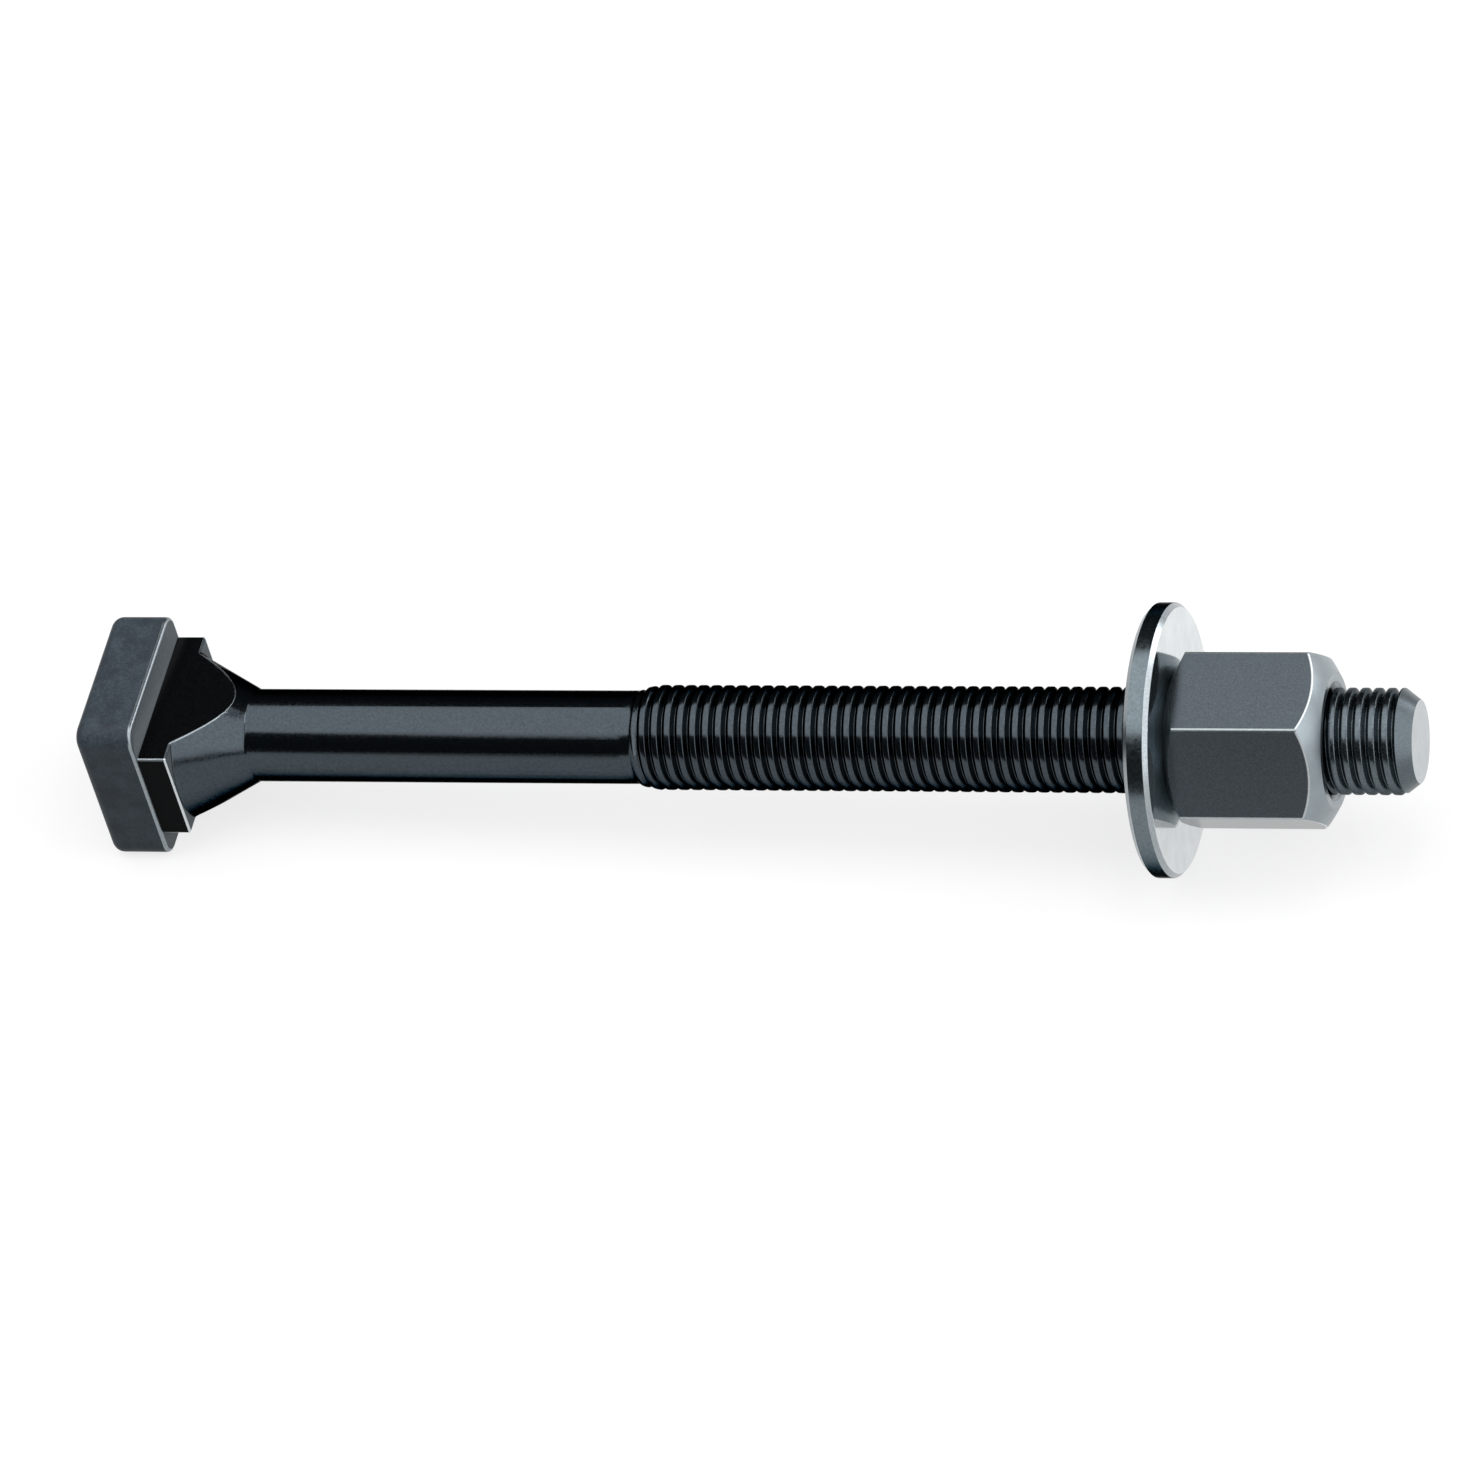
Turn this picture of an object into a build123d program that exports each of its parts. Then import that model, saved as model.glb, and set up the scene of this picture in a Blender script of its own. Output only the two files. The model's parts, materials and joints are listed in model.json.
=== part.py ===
from build123d import *
import os
from math import asin, atan2, cos, degrees, hypot, radians, sin, sqrt, tan

# A T slot bolt with its flat washer and a 1.5 diameter high hexagon nut, lying on a flat surface.
#
# Each piece is first made with its own centre line along +X, and X = 0 at the head's outer end. The head stays at
# the low X end. The whole is then laid down: the lower edge of the head's outer end and the rim of the washer
# touch the surface Z = 0, so the bolt's axis climbs gently towards +X. Lengths are millimetres, angles degrees.

# forged head, square across the axis
head_side = 33.9
head_height = 11.5
head_corner_radius = 3.6
head_end_radius = 2.2
head_seat_radius = 0.7

# neck with two flats, which enters the slot, and the cone behind it
slot_neck_flats = 20.4
side_ledge = 0.65  # how far the head stands out past the neck's other two sides
neck_length = 5.6
cone_set_back = 0.7  # how far the cone's large end stays inside the neck's side faces
cone_length = 12.5
shoulder_blend = 0.4
cone_blend = 1.2
forged_edge_radius = 0.4

# shank and rolled thread
length_under_head = 244.4
thread_diameter = 19.85
crest_height = 1.1  # the rolled crests stand this far above the plain shank
thread_pitch = 2.5
thread_length = 150.0
end_chamfer_length = 2.9
end_chamfer_depth = 2.2

# flat washer
washer_diameter = 51.2
washer_thickness = 4.7
washer_edge_chamfer = 0.9
washer_clearance = 0.6

# hexagon nut, one end spherical
nut_across_flats = 31.0
nut_height = 29.6
nut_bearing_diameter = 26.5
nut_chamfer_angle = 30.0
nut_sphere_radius = 27.0
nut_end_diameter = 25.6
nut_countersink = 1.2
nut_edge_radius = 0.25
thread_clearance = 0.05
nut_clocking = 52.7  # turn of one corner of the hexagon from the front (-Y), towards the top
free_thread = 16.0  # thread that shows beyond the nut

# worked out from the sizes above
neck_width = head_side - 2 * side_ledge
cone_large_diameter = neck_width - 2 * cone_set_back
shank_diameter = thread_diameter - 2 * crest_height
bolt_length = head_height + length_under_head
neck_end = head_height + neck_length
cone_end = neck_end + cone_length
thread_start = bolt_length - thread_length
nut_end = bolt_length - free_thread
nut_start = nut_end - nut_height
washer_start = nut_start - washer_thickness
washer_bore = thread_diameter + 2 * washer_clearance
nut_bore = thread_diameter + 2 * thread_clearance

# tilt of the bolt's axis when the head's rounded lower edge and the washer's rim carry it
rim_contact = washer_start + washer_edge_chamfer - head_end_radius
rim_drop = washer_diameter / 2 - head_side / 2 + head_end_radius
rest_tilt = atan2(rim_drop, rim_contact) - asin(head_end_radius / hypot(rim_drop, rim_contact))
axis_height = washer_diameter / 2 * cos(rest_tilt) - (washer_start + washer_edge_chamfer) * sin(rest_tilt)


def turned(*outline):
    """The half section through these (x, radius) points, ready to be revolved about the X axis."""
    return make_face(Polyline(*outline, close=True))


def forged_head():
    """Square block whose side corners and end edges are rounded by the die."""
    block = Pos(head_height / 2, 0, 0) * Box(head_height, head_side, head_side)
    block = fillet(block.edges().filter_by(Axis.X), head_corner_radius)
    block = fillet(block.faces().sort_by(Axis.X)[0].edges(), head_end_radius)
    return fillet(block.faces().sort_by(Axis.X)[-1].edges(), head_seat_radius)


def forged_neck():
    """Neck and cone in one turned form, cut to the slot by two flats and to the head by two side faces."""
    root = head_height / 2
    reach = neck_width + slot_neck_flats
    foot = cone_end + 2 * cone_blend
    section = turned(
        (root, 0),
        (root, reach),
        (neck_end, reach),
        (neck_end, cone_large_diameter / 2),
        (cone_end, shank_diameter / 2),
        (foot, shank_diameter / 2),
        (foot, 0),
    )
    shoulder = section.vertices().sort_by_distance((neck_end, cone_large_diameter / 2))[0]
    section = fillet(shoulder, shoulder_blend)
    cone_foot = section.vertices().sort_by_distance((cone_end, shank_diameter / 2))[0]
    section = fillet(cone_foot, cone_blend)
    sides = Pos((root + foot) / 2, 0, 0) * Box(foot - root, neck_width, slot_neck_flats)
    neck = revolve(section, Axis.X) & sides
    flat_sides = neck.faces().filter_by(Axis.Y) + neck.faces().filter_by(Axis.Z)
    past_root = [edge for edge in flat_sides.edges() if edge.center().X > root + forged_edge_radius]
    return fillet([edge for edge in neck.edges() if edge in past_root], forged_edge_radius)


def plain_and_threaded_shank():
    """Plain shank, the rolled thread at its outside diameter, and the chamfered end."""
    crest = thread_diameter / 2
    section = turned(
        (head_height / 2, 0),
        (head_height / 2, shank_diameter / 2),
        (thread_start, shank_diameter / 2),
        (thread_start + thread_pitch, crest),
        (bolt_length - end_chamfer_length, crest),
        (bolt_length, crest - end_chamfer_depth),
        (bolt_length, 0),
    )
    return revolve(section, Axis.X)


def t_slot_bolt():
    """The whole forging is one piece of steel."""
    return forged_head() + forged_neck() + plain_and_threaded_shank()


def flat_washer():
    """Thick turned ring with both outer edges chamfered."""
    rim = washer_diameter / 2
    chamfer_start = rim - washer_edge_chamfer
    section = turned(
        (washer_start, washer_bore / 2),
        (washer_start, chamfer_start),
        (washer_start + washer_edge_chamfer, rim),
        (nut_start - washer_edge_chamfer, rim),
        (nut_start, chamfer_start),
        (nut_start, washer_bore / 2),
    )
    return revolve(section, Axis.X)


def hex_nut():
    """Hexagon bar, faced with a chamfer at the washer's end and turned to a sphere at the other."""
    corner = nut_across_flats / sqrt(3)
    bar = extrude(Plane.YZ * RegularPolygon(corner, 6), nut_height)
    bar = fillet(bar.edges().filter_by(Axis.X), nut_edge_radius)
    bar = Pos(nut_start, 0, 0) * Rot(-nut_clocking, 0, 0) * bar
    return bar & revolve(nut_section(corner + nut_countersink), Axis.X)


def nut_section(outside):
    """Half section of the nut out to a radius beyond the hexagon's corners."""
    bore = nut_bore / 2
    mouth = bore + nut_countersink
    end_radius = nut_end_diameter / 2
    bearing_radius = nut_bearing_diameter / 2
    chamfer_length = (outside - bearing_radius) * tan(radians(nut_chamfer_angle))
    sphere_centre = nut_end - sqrt(nut_sphere_radius**2 - end_radius**2)
    half_way = (asin(outside / nut_sphere_radius) + asin(end_radius / nut_sphere_radius)) / 2
    shoulder = (sphere_centre + sqrt(nut_sphere_radius**2 - outside**2), outside)
    middle = (
        sphere_centre + nut_sphere_radius * cos(half_way),
        nut_sphere_radius * sin(half_way),
    )
    turned_side = Polyline(
        (nut_end, end_radius),
        (nut_end, mouth),
        (nut_end - nut_countersink, bore),
        (nut_start + nut_countersink, bore),
        (nut_start, mouth),
        (nut_start, bearing_radius),
        (nut_start + chamfer_length, outside),
        shoulder,
    )
    return make_face(turned_side + ThreePointArc(shoulder, middle, (nut_end, end_radius)))


pieces = {
    "t_slot_bolt": t_slot_bolt(),
    "flat_washer": flat_washer(),
    "hex_nut": hex_nut(),
}

# laid down on Z = 0, with the middle of the object's length at X = 0
tilted = Pos(0, 0, axis_height) * Rot(0, -degrees(rest_tilt), 0)
laid = {name: tilted * piece for name, piece in pieces.items()}
boxes = [piece.bounding_box() for piece in laid.values()]
centred = Pos(-(min(box.min.X for box in boxes) + max(box.max.X for box in boxes)) / 2, 0, 0)

os.makedirs("parts", exist_ok=True)
for name, piece in laid.items():
    export_step(centred * piece, f"parts/{name}.step")
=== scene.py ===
"""A T slot bolt with its washer and nut: black forged and rolled steel, laid on a pale floor."""

import json
import math

import bpy
from mathutils import Matrix, Vector


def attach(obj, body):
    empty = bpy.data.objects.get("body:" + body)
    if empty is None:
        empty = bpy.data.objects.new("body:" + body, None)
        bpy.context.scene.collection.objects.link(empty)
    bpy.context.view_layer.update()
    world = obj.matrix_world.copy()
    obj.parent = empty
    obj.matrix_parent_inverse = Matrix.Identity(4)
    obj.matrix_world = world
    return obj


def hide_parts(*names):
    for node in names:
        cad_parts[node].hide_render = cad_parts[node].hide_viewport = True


bl_info = {
    "name": "T slot bolt",
    "version": (1, 0, 0),
    "blender": (4, 5, 0),
    "location": "View3D > Sidebar > T slot bolt",
    "description": "Models a T slot bolt, its flat washer and its spherical-ended nut on the packed frame",
    "category": "Object",
}

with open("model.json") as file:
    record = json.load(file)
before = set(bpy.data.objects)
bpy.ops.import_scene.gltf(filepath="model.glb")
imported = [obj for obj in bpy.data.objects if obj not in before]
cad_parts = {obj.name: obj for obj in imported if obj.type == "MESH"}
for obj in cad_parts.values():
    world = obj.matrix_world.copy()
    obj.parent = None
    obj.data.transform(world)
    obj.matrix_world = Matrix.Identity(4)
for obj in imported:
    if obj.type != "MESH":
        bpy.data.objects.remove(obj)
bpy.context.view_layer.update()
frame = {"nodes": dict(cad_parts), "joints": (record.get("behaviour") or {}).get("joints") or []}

MM = 0.001
TURN = 2 * math.pi
HEX_SIDES = 6

# corners nearer than the first are merged, a cut takes those nearer than the second as lying on its plane,
# and the last is the play in tests of whether a face lies at an end
MERGE = 0.002 * MM
ON_PLANE = 0.0001 * MM
PLAY = 0.01 * MM

# steps of a full turn of the lathe, of one turn of the thread, and of the nut's spherical end
ROUND_STEPS = 192
THREAD_STEPS = 72
DOME_STEPS = 24

JOINTS = {joint["name"]: joint for joint in frame["joints"]}
AXIS = Vector(JOINTS["nut_turn"]["axis"]).normalized()
ACROSS = Vector((0, 1, 0))
UPWARD = AXIS.cross(ACROSS)
ON_AXIS = Vector(JOINTS["nut_turn"]["pos_m"])


def along_axis(node):
    """Where a CAD node starts and ends along the bolt's axis, measured from the joint's point."""
    places = [(corner.co - ON_AXIS).dot(AXIS) for corner in frame["nodes"][node].data.vertices]
    return min(places), max(places)


def radius_of(node):
    """The greatest distance of a CAD node from the bolt's axis."""
    corners = frame["nodes"][node].data.vertices
    return max((corner.co - ON_AXIS).cross(AXIS).length for corner in corners)


HEAD_END, BOLT_END = along_axis("t_slot_bolt")
BOLT_LENGTH = BOLT_END - HEAD_END
WASHER_START, WASHER_END = (place - HEAD_END for place in along_axis("flat_washer"))
NUT_START, NUT_END = (place - HEAD_END for place in along_axis("hex_nut"))

# pieces are made in the lathe's frame, with the head's outer end at X = 0 and the axis along +X, and this
# lays them down in the frame that they share with the CAD
LAID = Matrix.Translation(ON_AXIS + AXIS * HEAD_END) @ Matrix((AXIS, ACROSS, UPWARD)).transposed().to_4x4()


def millimetres(name, description, default):
    """A length that a user may set, in millimetres."""
    return bpy.props.FloatProperty(name=name, description=description, default=default, min=0.0, precision=3)


def metres(name, description, default):
    """A length that a user may set, in metres."""
    return bpy.props.FloatProperty(
        name=name, description=description, unit="LENGTH", default=default, min=0.0
    )


def degrees(name, description, default):
    """An angle that a user may set, from its default in degrees."""
    return bpy.props.FloatProperty(
        name=name, description=description, subtype="ANGLE", default=math.radians(default)
    )


def colour(name, description, hex_value):
    """A colour that a user may set, from its sRGB hex value."""
    return bpy.props.FloatVectorProperty(
        name=name, description=description, subtype="COLOR", default=linear(hex_value), size=3, min=0.0,
        max=1.0,
    )


def linear(hex_value):
    """The linear colour of an sRGB hex value such as 1B1F24."""
    channels = [int(hex_value[i:i + 2], 16) / 255 for i in (0, 2, 4)]
    return tuple(c / 12.92 if c <= 0.04045 else ((c + 0.055) / 1.055) ** 2.4 for c in channels)


class ForgingSizes(bpy.types.PropertyGroup):
    """Sizes and colours of the bolt."""

    thread_diameter: millimetres("Thread diameter", "Outside diameter of the rolled thread", 19.85)
    shank_diameter: millimetres("Shank diameter", "Diameter of the plain shank", 17.65)
    pitch: millimetres("Pitch", "Distance from one crest to the next", 2.5)
    thread_length: millimetres("Thread length", "Length of the thread from the bolt's end", 150.0)
    thread_depth: millimetres("Thread depth", "Height of a crest above the root", 1.05)
    chamfer_length: millimetres("End chamfer length", "Length of the end chamfer along the axis", 2.9)
    chamfer_depth: millimetres("End chamfer depth", "Depth of the end chamfer below the crests", 2.2)
    run_in: millimetres("Run-in", "Length over which the first crests rise from the shank", 6.0)
    head_height: millimetres("Head height", "Height of the square head along the axis", 11.5)
    neck_length: millimetres("Neck length", "Length of the neck's flat sides from the head", 5.6)
    neck_width: millimetres("Neck width", "Distance between the neck's other two sides", 32.6)
    highlight_width: millimetres("Highlight width", "Width of the bright line along the shoulder", 0.46)
    cone_length: millimetres("Cone length", "Length of the cone from the neck to the shank", 12.5)
    cone_slope: degrees("Cone slope", "Angle between the cone's side and the axis", 28.5)
    skin: colour("Forging skin", "Colour of the scaled faces of the head", "363E45")
    # the seat's colour, lighter than the skin, partly paints the light that falls on the ledge
    seat: colour("Seat", "Colour of the dull faced ledge round the neck", "4B5155")
    black: colour("Black oxide", "Colour of the smooth black steel", "40474C")
    # the worn thread's colour is partly a painted sheen on the turns past the nut
    worn_and_sheen: colour("Thread wear and sheen", "Colour of the turns past the nut", "596166")
    # the rubbed edge colour paints highlights on the head's seat edge and the neck's rounded edges
    edge: colour("Painted edge highlight", "Colour of the scale where an edge is rubbed", "8A9297")
    # the bright edge colour paints a highlight along the shoulder
    bright: colour("Bright edge", "Colour of the bare shoulder in front of the cone", "C4CACD")
    bare: colour("Cut steel", "Colour of the sheared end", "B4BABD")


class WasherSizes(bpy.types.PropertyGroup):
    """Sizes and colours of the washer."""

    edge_chamfer: millimetres("Edge chamfer", "Chamfer of the rim's two edges", 0.9)
    bore_chamfer: millimetres("Bore chamfer", "Small chamfer of the hole's two edges", 0.3)
    clearance: millimetres("Clearance", "Gap between the hole and the thread", 0.6)
    blunting: millimetres("Blunting", "How far the ends of the edge chamfer are rubbed down", 0.04)
    run_out: millimetres("Run-out", "Length over which the blunted ends run out", 0.1)
    face: colour("Turned face", "Colour of the turned steel", "D4D9DB")
    rim: colour("Rim", "Colour of the washer's rim", "667075")
    edge: colour("Edge", "Colour of the washer's chamfers", "9AA1A5")


class NutSizes(bpy.types.PropertyGroup):
    """Sizes and colours of the nut."""

    across_flats: millimetres("Across flats", "Width of the hexagon", 31.0)
    bearing_diameter: millimetres("Bearing diameter", "Diameter of the flat ring against the washer", 26.5)
    bearing_chamfer: degrees("Bearing chamfer", "Angle of the chamfer round the bearing ring", 30.0)
    sphere_radius: millimetres("Sphere radius", "Radius of the spherical end", 27.0)
    end_diameter: millimetres("End diameter", "Diameter of the flat ring at the spherical end", 25.6)
    countersink: millimetres("Countersink", "Countersink of the thread at both ends", 1.2)
    minor_radius: millimetres("Minor radius", "Radius of the nut's thread at its crests", 8.72)
    packed_play: millimetres("Packed play", "Gap round the thread in the packed nut's plain bore", 0.05)
    thread_gap: millimetres("Thread gap", "Gap between the bolt's crests and the nut's roots", 0.12)
    edge_round: millimetres("Edge round", "Rounding of the hexagon's edges", 0.35)
    flats: colour("Flats", "Colour of the drawn flats", "4B5257")
    dome: colour("Dome", "Colour of the turned spherical end", "8A9398")
    # the corner colour, lighter than the flats, paints highlights along the hexagon's rounded corners
    corner: colour("Corner", "Colour of the hexagon's rubbed corners", "A0A7AB")
    # a light line where the sphere cuts the flats: a painted highlight on that edge
    highlight_edge: colour("Highlight line", "Colour of the flats where the sphere cuts them", "D2D6D8")
    highlight_line_width: millimetres("Highlight line width", "Width of the bare line where the sphere cuts the flats", 0.35)


class StageSizes(bpy.types.PropertyGroup):
    """Camera, lamps and floor."""

    azimuth: degrees("Azimuth", "Camera's turn round the bolt", 21.2)
    elevation: degrees("Elevation", "Camera's height above the floor", 45.02)
    roll: degrees("Roll", "Camera's roll, which levels the bolt", -13.29)
    distance: metres("Distance", "From the camera to its aim", 1.8)
    nearest: metres("Nearest", "How near the camera starts to see", 0.05)
    farthest: metres("Farthest", "How far the camera sees", 50.0)
    lens: bpy.props.FloatProperty(name="Lens", description="Focal length in millimetres", default=233.2)
    aim_left: millimetres("Aim left", "Aim point to the left of the bolt's middle", 1.9)
    aim_down: millimetres("Aim down", "Aim point below the bolt's middle", 2.8)
    floor_side: metres("Floor side", "Length and width of the floor", 12.0)
    floor: colour("Floor", "Colour that the floor throws onto the bolt", "606060")
    paper: colour("Paper", "Colour of the floor to the eye and in mirrors", "F8F8F8")
    glow: bpy.props.FloatProperty(
        name="Floor glow", description="Share of plain white in the floor that the eye sees",
        subtype="FACTOR", default=0.75, min=0.0, max=1.0,
    )
    room: colour("Room", "Colour of the light that the dim room gives", "EDF7FF")
    dimness: bpy.props.FloatProperty(
        name="Dimness", description="Strength of the room's light, so low that the steel stays black",
        default=0.05, min=0.0,
    )


def deselect_all():
    """Leaves object mode with nothing selected."""
    if bpy.context.object and bpy.context.object.mode != "OBJECT":
        bpy.ops.object.mode_set(mode="OBJECT")
    bpy.ops.object.select_all(action="DESELECT")


def pick(*pieces):
    """Selects these pieces alone, the first one active."""
    deselect_all()
    for piece in pieces:
        piece.select_set(True)
    bpy.context.view_layer.objects.active = pieces[0]


def edit(piece, chosen="SELECT", kind="VERT"):
    """Opens one piece in edit mode with all of it selected, or none, as corners, edges or faces."""
    pick(piece)
    bpy.ops.object.mode_set(mode="EDIT")
    bpy.ops.mesh.select_mode(type=kind)
    bpy.ops.mesh.select_all(action=chosen)


def done():
    """Closes edit mode."""
    bpy.ops.object.mode_set(mode="OBJECT")


def outline(name, points):
    """A chain of edges through (x, radius) points in metres, drawn by extruding one vertex."""
    deselect_all()
    bpy.ops.mesh.primitive_plane_add(size=MM, location=(0, 0, 0))
    piece = bpy.context.object
    piece.name = name
    edit(piece)
    bpy.ops.mesh.merge(type="CENTER")
    corners = [Vector((x, 0, radius)) for x, radius in points]
    bpy.ops.transform.translate(value=corners[0])
    for start, end in zip(corners, corners[1:]):
        bpy.ops.mesh.extrude_region_move(TRANSFORM_OT_translate={"value": end - start})
    done()
    return piece


def turned(name, points):
    """A closed body of revolution about the X axis, from its outline."""
    piece = outline(name, points)
    edit(piece)
    bpy.ops.mesh.spin(steps=ROUND_STEPS, angle=TURN, center=(0, 0, 0), axis=(1, 0, 0))
    bpy.ops.mesh.select_all(action="SELECT")
    bpy.ops.mesh.remove_doubles(threshold=MERGE)
    bpy.ops.mesh.normals_make_consistent(inside=False)
    done()
    return piece


def arc(middle, radius, start, end, steps):
    """Points of an arc about a place on the axis, from one angle to another, in radians."""
    angles = [start + (end - start) * i / steps for i in range(steps + 1)]
    return [(middle + radius * math.cos(angle), radius * math.sin(angle)) for angle in angles]


def apply_modifier(piece, kind, **settings):
    """Adds one modifier to a piece, sets it and applies it."""
    pick(piece)
    modifier = piece.modifiers.new(kind.title(), kind)
    for setting, value in settings.items():
        setattr(modifier, setting, value)
    bpy.ops.object.modifier_apply(modifier=modifier.name)


def combine(piece, tool, operation):
    """Cuts a solid by another one, or keeps what both share, and uses the other one up."""
    apply_modifier(piece, "BOOLEAN", object=tool, operation=operation, solver="EXACT")
    bpy.data.objects.remove(tool)


def lay(piece):
    """Takes a piece from the lathe's frame to its place, with its object left at the origin."""
    pick(piece)
    piece.matrix_world = LAID
    bpy.ops.object.transform_apply(location=True, rotation=True, scale=True)


def smooth(piece, bend):
    """Smooth shading over bends up to so many degrees, sharp over edges, with broad faces kept flat."""
    pick(piece)
    bpy.ops.object.shade_smooth_by_angle(angle=math.radians(bend))
    apply_modifier(piece, "WEIGHTED_NORMAL", keep_sharp=True, weight=100)


def thread_outline(crest, depth, pitch):
    """One pitch of a blunt rolled thread from root to root: narrow groove, 30 degree flanks, broad crest."""
    flank = math.tan(math.radians(30))
    half_crest = 0.168 * pitch
    shoulder = 0.05 * pitch
    crest_start = pitch / 2 - half_crest
    half_root = crest_start - shoulder - depth * flank
    hollow = 0.08 * depth
    root = crest - depth
    groove = [(0, root), (half_root * 0.5, root + hollow * 0.2), (half_root + hollow * flank, root + hollow)]
    # the rounded shoulder: how far each point lies before the crest and below it, in widths of the shoulder
    rounding = [(1.2, 0.7), (0.5, 0.2), (0, 0.04)]
    rise = [(crest_start - shoulder * before, crest - shoulder * below) for before, below in rounding]
    half = groove + rise
    return half + [(pitch / 2, crest)] + [(pitch - x, radius) for x, radius in reversed(half)]


def thread_rod(name, crest, thread):
    """An open tube with the bolt's thread: one pitch swept along a right-hand helix, past both its ends."""
    pitch = thread.pitch * MM
    early = 1.5 * pitch
    spare_turns = 4
    first_root = BOLT_LENGTH - thread.thread_length * MM - early
    turns = math.ceil(thread.thread_length / thread.pitch) + spare_turns
    profile = thread_outline(crest, thread.thread_depth * MM, pitch)
    rod = outline(name, [(first_root + x, radius) for x, radius in profile])
    apply_modifier(
        rod, "SCREW", axis="X", angle=TURN, screw_offset=pitch, iterations=turns,
        steps=THREAD_STEPS, render_steps=THREAD_STEPS,
    )
    edit(rod)
    bpy.ops.mesh.remove_doubles(threshold=MERGE)
    done()
    return rod


def cut_square(piece, place, direction, fill):
    """Cuts a piece square to the axis and keeps what lies before the plane, seen along direction."""
    edit(piece)
    bpy.ops.mesh.bisect(
        plane_co=(place, 0, 0), plane_no=(direction, 0, 0), threshold=ON_PLANE, use_fill=fill,
        clear_outer=True,
    )
    done()


def closed(piece):
    """Turns all faces of a closed piece outwards."""
    edit(piece)
    bpy.ops.mesh.normals_make_consistent(inside=False)
    done()


def select_faces(piece, wanted):
    """Opens a piece in edit mode with only those faces selected that a test of centre and normal wants."""
    edit(piece, "DESELECT", "FACE")
    done()
    for face in piece.data.polygons:
        face.select = wanted(face.center, face.normal)
    bpy.ops.object.mode_set(mode="EDIT")


def paint(piece, materials, choose):
    """Gives each face of a piece one of the named materials, chosen by the face's centre and normal."""
    piece.data.materials.clear()
    for material in materials.values():
        piece.data.materials.append(material)
    order = list(materials)
    for face in piece.data.polygons:
        face.material_index = order.index(choose(face.center, face.normal))


# ---------------------------------------------------------------------------------------------- materials


def add_node(tree, kind, sockets=None, **settings):
    """Adds one shader node, sets its attributes, and links each named socket or gives it a value."""
    node = tree.nodes.new(kind)
    for name, value in settings.items():
        setattr(node, name, value)
    for name, value in (sockets or {}).items():
        if isinstance(value, bpy.types.NodeSocket):
            tree.links.new(value, node.inputs[name])
        else:
            node.inputs[name].default_value = value
    return node


def new_material(name):
    """An empty node material and its tree."""
    material = bpy.data.materials.new(name)
    material.use_nodes = True
    material.node_tree.nodes.clear()
    return material, material.node_tree


def new_steel(name):
    """An empty node material, its tree, and the object's own coordinates in metres."""
    material, tree = new_material(name)
    return material, tree, add_node(tree, "ShaderNodeTexCoord").outputs["Object"]


def per_metre(size_mm):
    """The scale of a noise whose grains are about this many millimetres across."""
    return 1 / (size_mm * MM)


def shade(tint, amount):
    """A linear colour made lighter or darker by one factor, ready for a socket."""
    return (*[min(1.0, channel * amount) for channel in tint], 1)


def toned(tree, noise, tint, span, tones):
    """A colour that a noise takes from its darker to its lighter tone, as the noise crosses a span."""
    step = add_node(tree, "ShaderNodeMapRange", {"Value": noise, "From Min": span[0], "From Max": span[1]})
    ends = {6: shade(tint, tones[0]), 7: shade(tint, tones[1])}
    return add_node(tree, "ShaderNodeMix", {0: step.outputs["Result"], **ends}, data_type="RGBA").outputs[2]


def grained(tree, place, size_mm, depth_mm, relief, roughness=None, coarseness=0.6):
    """A noise with grains of one size, and the dents and, if asked, the uneven roughness that they give.

    Real grains and scratches on steel are about 0.1 mm wide, too fine to show, so each material draws them
    as coarse as it needs to show.
    """
    noise = add_node(tree, "ShaderNodeTexNoise", {
        "Vector": place, "Scale": per_metre(size_mm), "Detail": 3.0, "Roughness": coarseness,
    }).outputs[0]
    dents = {"Height": noise, "Distance": depth_mm * MM, "Strength": relief}
    surface = {"Normal": add_node(tree, "ShaderNodeBump", dents).outputs["Normal"]}
    if roughness:
        uneven = add_node(tree, "ShaderNodeMapRange", {
            "Value": noise, "From Min": 0.3, "From Max": 0.7, "To Min": roughness[0], "To Max": roughness[1],
        })
        surface["Roughness"] = uneven.outputs["Result"]
    return noise, surface


def surfaced(material, sockets):
    """Closes a material with its one shader, which has these links and values on its own sockets."""
    tree = material.node_tree
    shader = add_node(tree, "ShaderNodeBsdfPrincipled", sockets)
    add_node(tree, "ShaderNodeOutputMaterial", {"Surface": shader.outputs[0]})
    return material


def scaled_forging(tint):
    """Hot-forged steel with a thin black scale: matt, mottled and finely pitted, with hardly a shine."""
    material, tree, place = new_steel("scaled_forged_steel")
    patches = add_node(tree, "ShaderNodeTexNoise", {
        "Vector": place, "Scale": per_metre(3.5), "Detail": 4.0, "Roughness": 0.6,
    })
    grain, pits = grained(tree, place, size_mm=0.45, depth_mm=0.05, relief=0.45, roughness=(0.42, 0.6))
    mottle = add_node(tree, "ShaderNodeMath", {0: patches.outputs[0], 1: grain}, operation="MULTIPLY")
    return surfaced(material, {
        "Base Color": toned(tree, mottle.outputs[0], tint, span=(0.16, 0.36), tones=(0.72, 1.35)),
        "Specular IOR Level": 0.16, **pits,
    })


def trimmed_flat_painted_shade(tint):
    """Neck flats pressed smooth by the trimming die under the same black scale, less mottled and darkened
    almost to black: painted shade under the head.
    """
    material, tree, place = new_steel("die_trimmed_steel_painted_shade")
    grain, dents = grained(tree, place, size_mm=0.6, depth_mm=0.03, relief=0.3)
    return surfaced(material, {
        "Base Color": toned(tree, grain, tint, span=(0.35, 0.65), tones=(0.02, 0.06)),
        "Roughness": 0.38, "Specular IOR Level": 0.03, **dents,
    })


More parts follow.
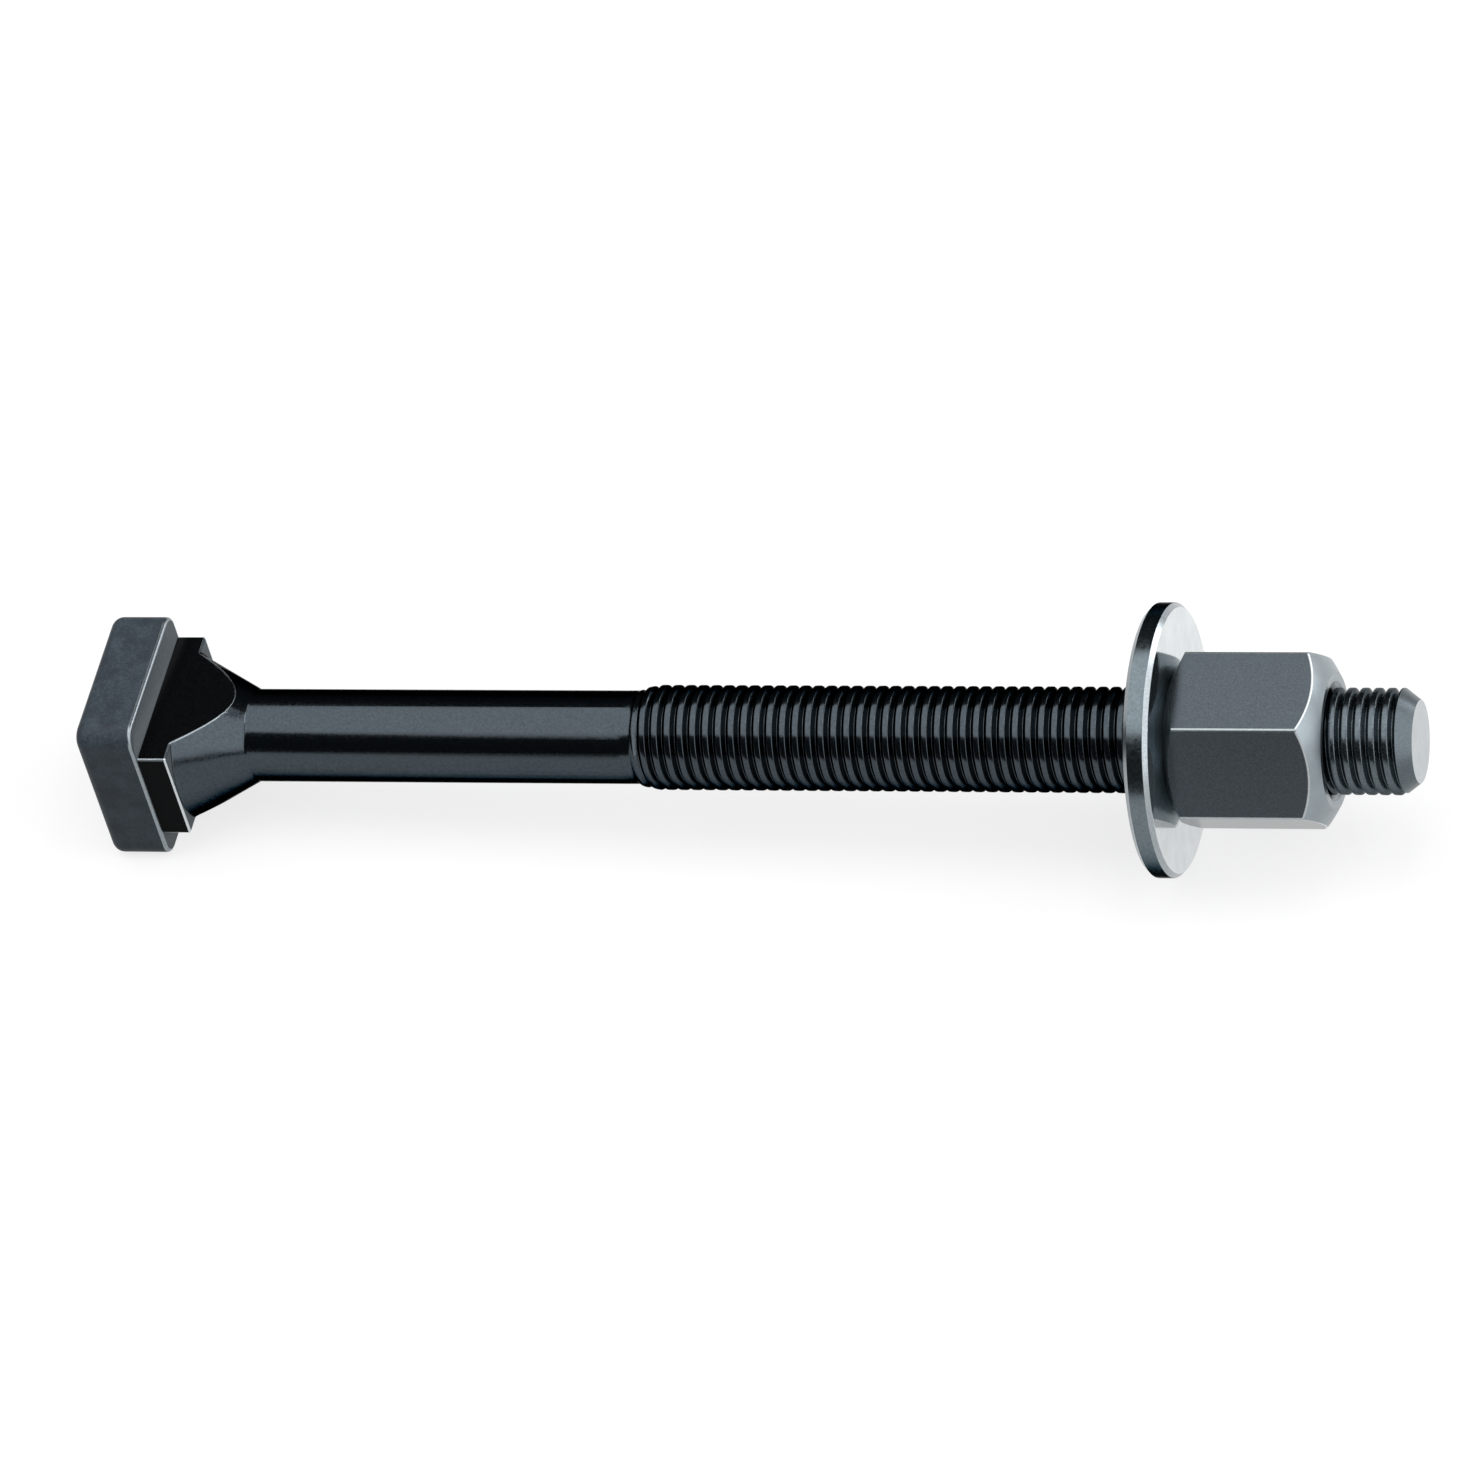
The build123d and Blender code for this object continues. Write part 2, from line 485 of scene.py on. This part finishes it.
def black_oxide(tint, name="black_oxide_rolled_steel", rough=0.15, glance=0.0):
    """Smooth rolled steel with a black oxide: a dark mirror with a fine speckle.

    The glance is how bright it turns where it is seen at a low angle, from 0, which keeps it dark, to 1.
    """
    material, tree, place = new_steel(name)
    speckle, dents = grained(
        tree, place, size_mm=0.5, depth_mm=0.012, relief=0.35, roughness=(rough * 0.8, rough * 1.35),
        coarseness=0.65,
    )
    return surfaced(material, {
        "Base Color": toned(tree, speckle, tint, span=(0.35, 0.65), tones=(0.85, 1.15)),
        "Metallic": 1.0, "Specular Tint": (glance, glance, glance, 1), **dents,
    })


def rubbed_and_highlight_steel(name, tint, rough):
    """Steel rubbed free of its scale by handling: a soft, slightly scratched shine; its light colour also
    paints highlights on edges.
    """
    material, tree, place = new_steel(name)
    scratches, dents = grained(tree, place, size_mm=0.3, depth_mm=0.01, relief=0.3)
    return surfaced(material, {
        "Base Color": toned(tree, scratches, tint, span=(0.3, 0.7), tones=(0.8, 1.15)),
        "Metallic": 1.0, "Roughness": rough, **dents,
    })


def faced_seat_and_painted_light(tint):
    """The ledge round the neck, struck clean by the die: dull bare steel without scale, which looks matt,
    coloured lighter than the skin partly to paint the light that falls on the ledge.
    """
    material, tree, place = new_steel("die_struck_steel_and_painted_light")
    grain, dents = grained(tree, place, size_mm=0.5, depth_mm=0.03, relief=0.3)
    return surfaced(material, {
        "Base Color": toned(tree, grain, tint, span=(0.3, 0.7), tones=(0.85, 1.15)),
        "Roughness": 0.6, "Specular IOR Level": 0.2, **dents,
    })


def turned_steel(name, tint, rough, ring_mm, depth_mm):
    """Steel faced on a lathe: fine rings round the axis that draw out each highlight.

    A real cut leaves a ring every 0.1 mm or so, and these are drawn coarser, so that they show.
    """
    material, tree, place = new_steel(name)
    upright = LAID.to_3x3().inverted()
    turning = {"Vector": place, "Rotation": upright.to_euler(), "Location": -(upright @ LAID.translation)}
    local = add_node(tree, "ShaderNodeMapping", turning, vector_type="POINT").outputs[0]
    split = add_node(tree, "ShaderNodeSeparateXYZ", {"Vector": local}).outputs
    across = add_node(tree, "ShaderNodeCombineXYZ", {"Y": split["Y"], "Z": split["Z"]}).outputs[0]
    radius = add_node(tree, "ShaderNodeVectorMath", {0: across}, operation="LENGTH").outputs["Value"]
    swept = add_node(tree, "ShaderNodeCombineXYZ", {"X": radius, "Y": split["X"]}).outputs[0]
    grooves = grained(
        tree, swept, size_mm=ring_mm, depth_mm=depth_mm, relief=0.5, roughness=(rough * 0.85, rough * 1.2),
    )[1]
    cloud = add_node(tree, "ShaderNodeTexNoise", {
        "Vector": place, "Scale": per_metre(4.0), "Detail": 3.0, "Roughness": 0.6,
    })
    return surfaced(material, {
        "Base Color": toned(tree, cloud.outputs[0], tint, span=(0.35, 0.65), tones=(0.93, 1.04)),
        "Metallic": 1.0, **grooves,
    })


def milled_flat(tint, bare, middle, sphere, rubbed):
    """Drawn hexagon bar, lightly blackened: a satin, finely grained grey, with a light line where the sphere
    cuts it: a painted highlight on that edge.
    """
    material, tree, place = new_steel("blackened_hexagon_bar")
    grain, dents = grained(tree, place, size_mm=0.35, depth_mm=0.01, relief=0.3, roughness=(0.17, 0.24))
    centre = LAID @ Vector((middle, 0, 0))
    reach = add_node(tree, "ShaderNodeVectorMath", {0: place, 1: centre}, operation="DISTANCE")
    # bare and rubbed are the colour and width of a light line where the sphere cuts the flats: a painted
    # highlight
    line = add_node(tree, "ShaderNodeMapRange", {
        "Value": reach.outputs["Value"], "From Min": sphere - rubbed, "From Max": sphere - rubbed / 2,
    })
    blackened = toned(tree, grain, tint, span=(0.3, 0.7), tones=(0.75, 1.25))
    ends = {6: blackened, 7: shade(bare, 1)}
    mixed = add_node(tree, "ShaderNodeMix", {0: line.outputs["Result"], **ends}, data_type="RGBA")
    return surfaced(material, {"Base Color": mixed.outputs[2], "Metallic": 1.0, **dents})


def pale_floor(bounce, paper, glow):
    """A plain matt floor: white to the eye and in mirrors, its shadow kept, and grey in what it bounces."""
    material, tree = new_material("pale_matt_floor")
    rays = add_node(tree, "ShaderNodeLightPath").outputs
    seen = rays["Is Camera Ray"]
    for kind in ("Is Glossy Ray", "Is Transmission Ray"):
        both = {0: seen, 1: rays[kind]}
        seen = add_node(tree, "ShaderNodeMath", both, operation="ADD", use_clamp=True).outputs[0]
    colours = {6: shade(bounce, 1), 7: shade(paper, 1)}
    tint = add_node(tree, "ShaderNodeMix", {0: seen, **colours}, data_type="RGBA")
    matt = add_node(tree, "ShaderNodeBsdfDiffuse", {"Color": tint.outputs[2]})
    white = add_node(tree, "ShaderNodeEmission", {"Strength": 1.0})
    part = add_node(tree, "ShaderNodeMath", {0: seen, 1: glow}, operation="MULTIPLY")
    ends = {1: matt.outputs[0], 2: white.outputs[0]}
    mixed = add_node(tree, "ShaderNodeMixShader", {0: part.outputs[0], **ends})
    add_node(tree, "ShaderNodeOutputMaterial", {"Surface": mixed.outputs[0]})
    return material


# ---------------------------------------------------------------------------------------------- pieces


class TSLOT_OT_bolt(bpy.types.Operator):
    """Forge the bolt and roll its thread"""

    bl_idname = "tslot.bolt"
    bl_label = "Forge the bolt"

    def execute(self, context):
        sizes = context.scene.tslot_bolt
        thread_start = BOLT_LENGTH - sizes.thread_length * MM
        end = self.rolled_end(sizes, thread_start)
        bolt = self.forging(thread_start - sizes.pitch * MM)
        self.weld(bolt, end)
        self.finish(bolt, sizes)
        return {"FINISHED"}

    def rolled_end(self, sizes, thread_start):
        """The thread with its run-in and its chamfered end, open where it meets the shank."""
        crest = sizes.thread_diameter / 2 * MM
        pitch = sizes.pitch * MM
        rod = thread_rod("rolled_end", crest, sizes)
        self.run_in(rod, sizes, thread_start)
        weld_plane = thread_start - 0.4 * pitch
        cut_square(rod, weld_plane, -1, True)
        cut_square(rod, BOLT_LENGTH + pitch, 1, True)
        closed(rod)
        tip = crest - sizes.chamfer_depth * MM
        slope = sizes.chamfer_depth / sizes.chamfer_length
        outside = 3 * crest
        start = weld_plane - pitch
        tool = turned("pointing_tool", [
            (start, 0), (start, outside), (BOLT_LENGTH - (outside - tip) / slope, outside),
            (BOLT_LENGTH, tip), (BOLT_LENGTH, 0),
        ])
        combine(rod, tool, "INTERSECT")
        select_faces(rod, lambda centre, normal: centre.x < weld_plane + 10 * ON_PLANE)
        bpy.ops.mesh.delete(type="FACE")
        done()
        return rod

    def run_in(self, rod, sizes, thread_start):
        """Lets the first crest rise from the shank to a part of its height, and later ones to the whole."""
        shank = sizes.shank_diameter / 2 * MM
        first_rise = sizes.pitch / 4 * MM
        first_height = 0.35
        run_in = sizes.run_in * MM
        for corner in rod.data.vertices:
            past = max(0, corner.co.x - thread_start)
            risen = min(1, past / first_rise) * min(1, first_height + past / run_in)
            radius = math.hypot(corner.co.y, corner.co.z)
            scale = (shank + (radius - shank) * risen) / radius
            corner.co.y *= scale
            corner.co.z *= scale

    def forging(self, cut):
        """Head, neck, cone and shank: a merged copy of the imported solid, open where the thread begins."""
        deselect_all()
        source = frame["nodes"]["t_slot_bolt"]
        bolt = bpy.data.objects.new("forged_t_slot_bolt", source.data.copy())
        bpy.context.scene.collection.objects.link(bolt)
        bolt.data.transform(LAID.inverted())
        edit(bolt)
        bpy.ops.mesh.remove_doubles(threshold=MERGE)
        done()
        cut_square(bolt, cut, 1, False)
        return bolt

    def weld(self, bolt, end):
        """Joins the forging and the threaded end by a ring of faces between their two open edges."""
        pick(bolt, end)
        bpy.ops.object.join()
        edit(bolt, "DESELECT", "EDGE")
        bpy.ops.mesh.select_non_manifold(
            extend=False, use_boundary=True, use_wire=False, use_multi_face=False, use_non_contiguous=False,
            use_verts=False,
        )
        bpy.ops.mesh.bridge_edge_loops()
        bpy.ops.mesh.select_all(action="SELECT")
        bpy.ops.mesh.normals_make_consistent(inside=False)
        done()

    def finish(self, bolt, sizes):
        """Surfaces, shading and place."""
        head = sizes.head_height * MM
        shoulder = head + sizes.neck_length * MM
        shoulder_blend, foot_blend = 0.5 * MM, 1.5 * MM
        cone_foot = shoulder + sizes.cone_length * MM - foot_blend
        chamfer_start = BOLT_LENGTH - sizes.chamfer_length * MM
        highlight_edge = (sizes.neck_width / 2 - sizes.highlight_width) * MM
        # how far a face leans towards the thread, from 0 to 1: past these it is a rounded edge, part of the
        # shoulder, the end chamfer, or square to the axis
        edge_lean, shoulder_lean, chamfer_lean, square = 0.15, 0.3, 0.4, 0.99
        # the cone's own lean, less some play for its facets
        cone_lean = math.sin(sizes.cone_slope) - 0.03

        def at_shoulder(centre, normal):
            return normal.x > shoulder_lean and abs(centre.x - shoulder) < 2 * shoulder_blend

        # cuts the shoulder where its highlight begins; the faces beyond get a light colour, a painted
        # highlight
        for side in (-1, 1):
            select_faces(bolt, at_shoulder)
            bpy.ops.mesh.bisect(plane_co=(0, side * highlight_edge, 0), plane_no=(0, 1, 0), threshold=ON_PLANE)
            done()

        def surface(centre, normal):
            if centre.x < head - PLAY:
                # the head's rounded seat edge gets a light colour: a painted highlight
                return "rubbed edge" if normal.x > edge_lean else "skin"
            if centre.x < cone_foot:
                # the neck's flats and sides: almost black, painted shade under the head
                if max(abs(normal.y), abs(normal.z)) > square:
                    return "neck flat"
                # the shoulder's outer faces: a painted highlight
                if centre.x > shoulder - shoulder_blend and normal.x > edge_lean and abs(centre.y) > highlight_edge:
                    return "bare shoulder"
                # the seat: a lighter colour, partly painted light on the ledge
                if normal.x > square:
                    return "seat"
                # the cone stays black oxide; the neck's other rounded edges get the same painted highlight
                return "black oxide" if normal.x > cone_lean else "rubbed edge"
            if centre.x > BOLT_LENGTH - PLAY:
                return "sheared end"
            if centre.x > chamfer_start and normal.x > chamfer_lean:
                return "end chamfer"
            # the turns past the nut get a lighter colour and glance: rubbed by the nut and partly a painted
            # sheen
            return "worn thread" if centre.x > NUT_END else "black oxide"

        paint(bolt, {
            "skin": scaled_forging(sizes.skin),
            "neck flat": trimmed_flat_painted_shade(sizes.skin),
            "black oxide": black_oxide(sizes.black),
            "sheared end": turned_steel("sheared_bare_steel", sizes.bare, 0.3, ring_mm=0.3, depth_mm=0.01),
            "rubbed edge": rubbed_and_highlight_steel("painted_edge_highlight", sizes.edge, 0.35),
            "seat": faced_seat_and_painted_light(sizes.seat),
            "bare shoulder": rubbed_and_highlight_steel("painted_shoulder_highlight", sizes.bright, 0.3),
            # a lighter copy of the black oxide that brightens at low angles: partly a painted sheen
            "worn thread": black_oxide(sizes.worn_and_sheen, "thread_steel_rubbed_with_sheen", rough=0.22, glance=0.4),
            "end chamfer": rubbed_and_highlight_steel("rubbed_end_chamfer", sizes.worn_and_sheen, 0.35),
        }, surface)
        lay(bolt)
        smooth(bolt, bend=30)
        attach(bolt, "bolt")
        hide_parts("t_slot_bolt")


class TSLOT_OT_washer(bpy.types.Operator):
    """Turn the flat washer"""

    bl_idname = "tslot.washer"
    bl_label = "Turn the washer"

    def execute(self, context):
        sizes = context.scene.tslot_washer
        rim = radius_of("flat_washer")
        edge = sizes.edge_chamfer * MM
        bore = (context.scene.tslot_bolt.thread_diameter / 2 + sizes.clearance) * MM
        mouth = sizes.bore_chamfer * MM
        blunt = sizes.blunting * MM
        run_out = sizes.run_out * MM
        half = [
            (WASHER_START + mouth, bore),
            (WASHER_START, bore + mouth),
            (WASHER_START, rim - edge - run_out),
            (WASHER_START + blunt, rim - edge + blunt),
            (WASHER_START + edge - blunt, rim - blunt),
            (WASHER_START + edge + run_out, rim),
        ]
        middle = (WASHER_START + WASHER_END) / 2
        other = [(2 * middle - x, radius) for x, radius in reversed(half)]
        washer = turned("turned_washer", half + other + half[:1])
        self.finish(washer, sizes)
        return {"FINISHED"}

    def finish(self, washer, sizes):
        """Surfaces, shading and place."""
        facing, leaning = 0.9, 0.3

        def surface(centre, normal):
            if abs(normal.x) > facing:
                return "face"
            return "chamfer" if abs(normal.x) > leaning else "rim"

        paint(washer, {
            "face": turned_steel("turned_washer_face", sizes.face, 0.1, ring_mm=0.35, depth_mm=0.003),
            "rim": black_oxide(sizes.rim, "blackened_washer_rim", rough=0.2),
            "chamfer": rubbed_and_highlight_steel("washer_edge", sizes.edge, 0.25),
        }, surface)
        lay(washer)
        smooth(washer, bend=25)
        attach(washer, "washer")
        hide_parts("flat_washer")


class TSLOT_OT_nut(bpy.types.Operator):
    """Cut the nut from hexagon bar, turn its two ends and tap it"""

    bl_idname = "tslot.nut"
    bl_label = "Make the nut"

    def execute(self, context):
        sizes = context.scene.tslot_nut
        thread = context.scene.tslot_bolt
        corner = sizes.across_flats / math.sqrt(3) * MM
        nut = self.bar(sizes, corner)
        combine(nut, self.turning(sizes, thread, outside=1.1 * corner), "INTERSECT")
        tap = thread_rod("tap", (thread.thread_diameter / 2 + sizes.thread_gap) * MM, thread)
        beyond = 2 * MM
        cut_square(tap, NUT_START - beyond, -1, True)
        cut_square(tap, NUT_END + beyond, 1, True)
        closed(tap)
        combine(nut, tap, "DIFFERENCE")
        self.finish(nut, sizes)
        return {"FINISHED"}

    def bar(self, sizes, corner):
        """A length of hexagon bar with its six edges rounded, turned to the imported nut's own angle."""
        deselect_all()
        bpy.ops.mesh.primitive_cylinder_add(
            vertices=HEX_SIDES, radius=corner, depth=NUT_END - NUT_START,
            location=((NUT_START + NUT_END) / 2, 0, 0), rotation=(0, TURN / 4, 0),
        )
        nut = bpy.context.object
        nut.name = "spherical_hexagon_nut"
        bpy.ops.object.transform_apply(location=True, rotation=True, scale=True)
        first = nut.data.vertices[0].co
        nut.rotation_euler.x = self.packed_angle() - math.atan2(first.z, first.y)
        bpy.ops.object.transform_apply(location=True, rotation=True, scale=True)
        edit(nut, "DESELECT", "EDGE")
        done()
        for edge in nut.data.edges:
            start, end = (nut.data.vertices[i].co for i in edge.vertices)
            edge.select = abs(start.x - end.x) > sizes.edge_round * MM
        bpy.ops.object.mode_set(mode="EDIT")
        bpy.ops.mesh.bevel(offset=sizes.edge_round * MM, segments=4)
        done()
        return nut

    def packed_angle(self):
        """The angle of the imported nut's outermost corner about the axis, from +Y towards the top."""
        corners = [corner.co - ON_AXIS for corner in frame["nodes"]["hex_nut"].data.vertices]
        outermost = max(corners, key=lambda place: place.cross(AXIS).length)
        angle = math.degrees(math.atan2(outermost.dot(UPWARD), outermost.dot(ACROSS)))
        return math.radians(round(angle % (360 / HEX_SIDES), 1))

    def turning(self, sizes, thread, outside):
        """What the lathe leaves: a chamfer at the washer, a sphere at the far end, and both mouths sunk."""
        bore = sizes.minor_radius * MM
        packed_bore = (thread.thread_diameter / 2 + sizes.packed_play) * MM
        mouth = packed_bore + sizes.countersink * MM
        bearing = sizes.bearing_diameter / 2 * MM
        ring = sizes.end_diameter / 2 * MM
        sphere = sizes.sphere_radius * MM
        sunk = mouth - bore
        rounded = arc(
            sphere_middle(sizes), sphere, math.asin(outside / sphere), math.asin(ring / sphere), DOME_STEPS
        )
        return turned("turning", [
            (NUT_START + sunk, bore), (NUT_START, mouth), (NUT_START, bearing),
            (NUT_START + (outside - bearing) * math.tan(sizes.bearing_chamfer), outside),
            *rounded, (NUT_END, mouth), (NUT_END - sunk, bore), (NUT_START + sunk, bore),
        ])

    def finish(self, nut, sizes):
        """Surfaces, shading and place."""
        flat = sizes.across_flats / 2 * MM
        middle = sphere_middle(sizes)
        sphere = sizes.sphere_radius * MM
        # a face that leans along the bolt or lies nearer the axis than the flats was turned or tapped, and
        # one farther out than the flats is a corner
        leaning, inside, corner = 0.02, 0.9 * flat, 1.12 * flat

        def surface(centre, normal):
            reach = math.hypot(centre.y, centre.z)
            if abs(normal.x) > leaning or reach < inside:
                return "turned"
            # corner faces get a lighter colour: a painted highlight along the corners
            return "corner" if reach > corner else "flat"

        paint(nut, {
            # the flats' light line at the sphere: a painted highlight
            "flat": milled_flat(sizes.flats, sizes.highlight_edge, middle, sphere, sizes.highlight_line_width * MM),
            "turned": turned_steel("turned_nut_end", sizes.dome, 0.3, ring_mm=0.3, depth_mm=0.02),
            "corner": rubbed_and_highlight_steel("painted_nut_corner_highlight", sizes.corner, 0.3),
        }, surface)
        lay(nut)
        smooth(nut, bend=20)
        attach(nut, "nut")
        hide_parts("hex_nut")


def sphere_middle(sizes):
    """Where the middle of the nut's sphere lies along the bolt."""
    return NUT_END - math.sqrt(sizes.sphere_radius ** 2 - (sizes.end_diameter / 2) ** 2) * MM


# ---------------------------------------------------------------------------------------------- stage


def seen_from(azimuth, elevation):
    """The direction from the bolt to what stands at this azimuth and height.

    Azimuth goes from the front towards the thread's end.
    """
    level = math.cos(elevation)
    return Vector((math.sin(azimuth) * level, -math.cos(azimuth) * level, math.sin(elevation)))


def hung(x, y):
    """A place one metre above the floor, and the point of the floor below it."""
    return Vector((x, y, 1)), Vector((x, y, 0))


def stood(azimuth, elevation):
    """A place one metre from the bolt at this azimuth and elevation in degrees, and the bolt's own place."""
    return seen_from(math.radians(azimuth), math.radians(elevation)), Vector()


# each lamp's name, its place and what it faces, its width and height in metres, and its radiance
LAMPS = (
    ("overhead_panel", hung(-0.925, -0.055), (2.15, 1.51), 1.85),
    ("high_panel", hung(0.29, 0.0), (0.22, 0.45), 6.0),
    ("right_panel", stood(73, 32), (1.9, 1.24), 2.0),
    ("back_right_panel", stood(133, 14), (0.45, 0.35), 4.6),
)


class TSLOT_OT_stage(bpy.types.Operator):
    """Lay the floor, hang the lamps and set the camera"""

    bl_idname = "tslot.stage"
    bl_label = "Set the stage"

    def execute(self, context):
        sizes = context.scene.tslot_stage
        deselect_all()
        bpy.ops.mesh.primitive_plane_add(size=sizes.floor_side, location=(0, 0, 0))
        floor = bpy.context.object
        floor.name = "floor"
        floor.data.materials.append(pale_floor(sizes.floor, sizes.paper, sizes.glow))
        for lamp in LAMPS:
            self.lamp(*lamp)
        self.world(context, sizes)
        self.camera(context, sizes)
        return {"FINISHED"}

    def lamp(self, name, placing, size, radiance):
        """A rectangular soft lamp of an even radiance, set at one place and facing another."""
        place, aim = placing
        turn = (place - aim).to_track_quat("Z", "Y")
        bpy.ops.object.light_add(type="AREA", location=place, rotation=turn.to_euler())
        lamp = bpy.context.object
        lamp.name = name
        lamp.visible_camera = False
        lamp.data.shape = "RECTANGLE"
        lamp.data.size, lamp.data.size_y = size
        lamp.data.energy = radiance * math.pi * size[0] * size[1]

    def world(self, context, sizes):
        """A dim room, so that the steel stays black between its highlights."""
        world = bpy.data.worlds.new("dim_room")
        world.use_nodes = True
        background = world.node_tree.nodes["Background"]
        background.inputs["Color"].default_value = (*sizes.room, 1)
        background.inputs["Strength"].default_value = sizes.dimness
        context.scene.world = world

    def camera(self, context, sizes):
        """A long lens from the front right and above, rolled to bring the bolt level."""
        back = seen_from(sizes.azimuth, sizes.elevation)
        level = Vector((math.cos(sizes.azimuth), math.sin(sizes.azimuth), 0))
        up = back.cross(level)
        right = level * math.cos(sizes.roll) + up * math.sin(sizes.roll)
        above = up * math.cos(sizes.roll) - level * math.sin(sizes.roll)
        middle = Vector((0, 0, radius_of("flat_washer")))
        aim = middle - right * sizes.aim_left * MM - above * sizes.aim_down * MM
        data = bpy.data.cameras.new("long_lens")
        data.lens = sizes.lens
        data.clip_start = sizes.nearest
        data.clip_end = sizes.farthest
        camera = bpy.data.objects.new("camera", data)
        context.scene.collection.objects.link(camera)
        turn = Matrix((right, above, back)).transposed().to_4x4()
        camera.matrix_world = Matrix.Translation(aim + back * sizes.distance) @ turn
        context.scene.camera = camera
        context.scene.view_settings.view_transform = "Standard"


# ---------------------------------------------------------------------------------------------- add-on


STEPS = {
    "tslot_bolt": (ForgingSizes, TSLOT_OT_bolt),
    "tslot_washer": (WasherSizes, TSLOT_OT_washer),
    "tslot_nut": (NutSizes, TSLOT_OT_nut),
    "tslot_stage": (StageSizes, TSLOT_OT_stage),
}


class TSLOT_PT_panel(bpy.types.Panel):
    """The bolt's sizes and the buttons that make it"""

    bl_idname = "TSLOT_PT_panel"
    bl_label = "T slot bolt"
    bl_space_type = "VIEW_3D"
    bl_region_type = "UI"
    bl_category = "T slot bolt"

    def draw(self, context):
        for name, (sizes, step) in STEPS.items():
            box = self.layout.box()
            for size in sizes.__annotations__:
                box.prop(getattr(context.scene, name), size)
            box.operator(step.bl_idname)


CLASSES = [kind for pair in STEPS.values() for kind in pair] + [TSLOT_PT_panel]


def register():
    """Adds the classes and the scene's settings."""
    for kind in CLASSES:
        bpy.utils.register_class(kind)
    for name, (sizes, _) in STEPS.items():
        setattr(bpy.types.Scene, name, bpy.props.PointerProperty(type=sizes))


def unregister():
    """Removes the settings and the classes."""
    for name in STEPS:
        delattr(bpy.types.Scene, name)
    for kind in reversed(CLASSES):
        bpy.utils.unregister_class(kind)


def main():
    """Builds the whole scene."""
    register()
    bpy.ops.tslot.bolt()
    bpy.ops.tslot.washer()
    bpy.ops.tslot.nut()
    bpy.ops.tslot.stage()


if __name__ == "__main__":
    main()
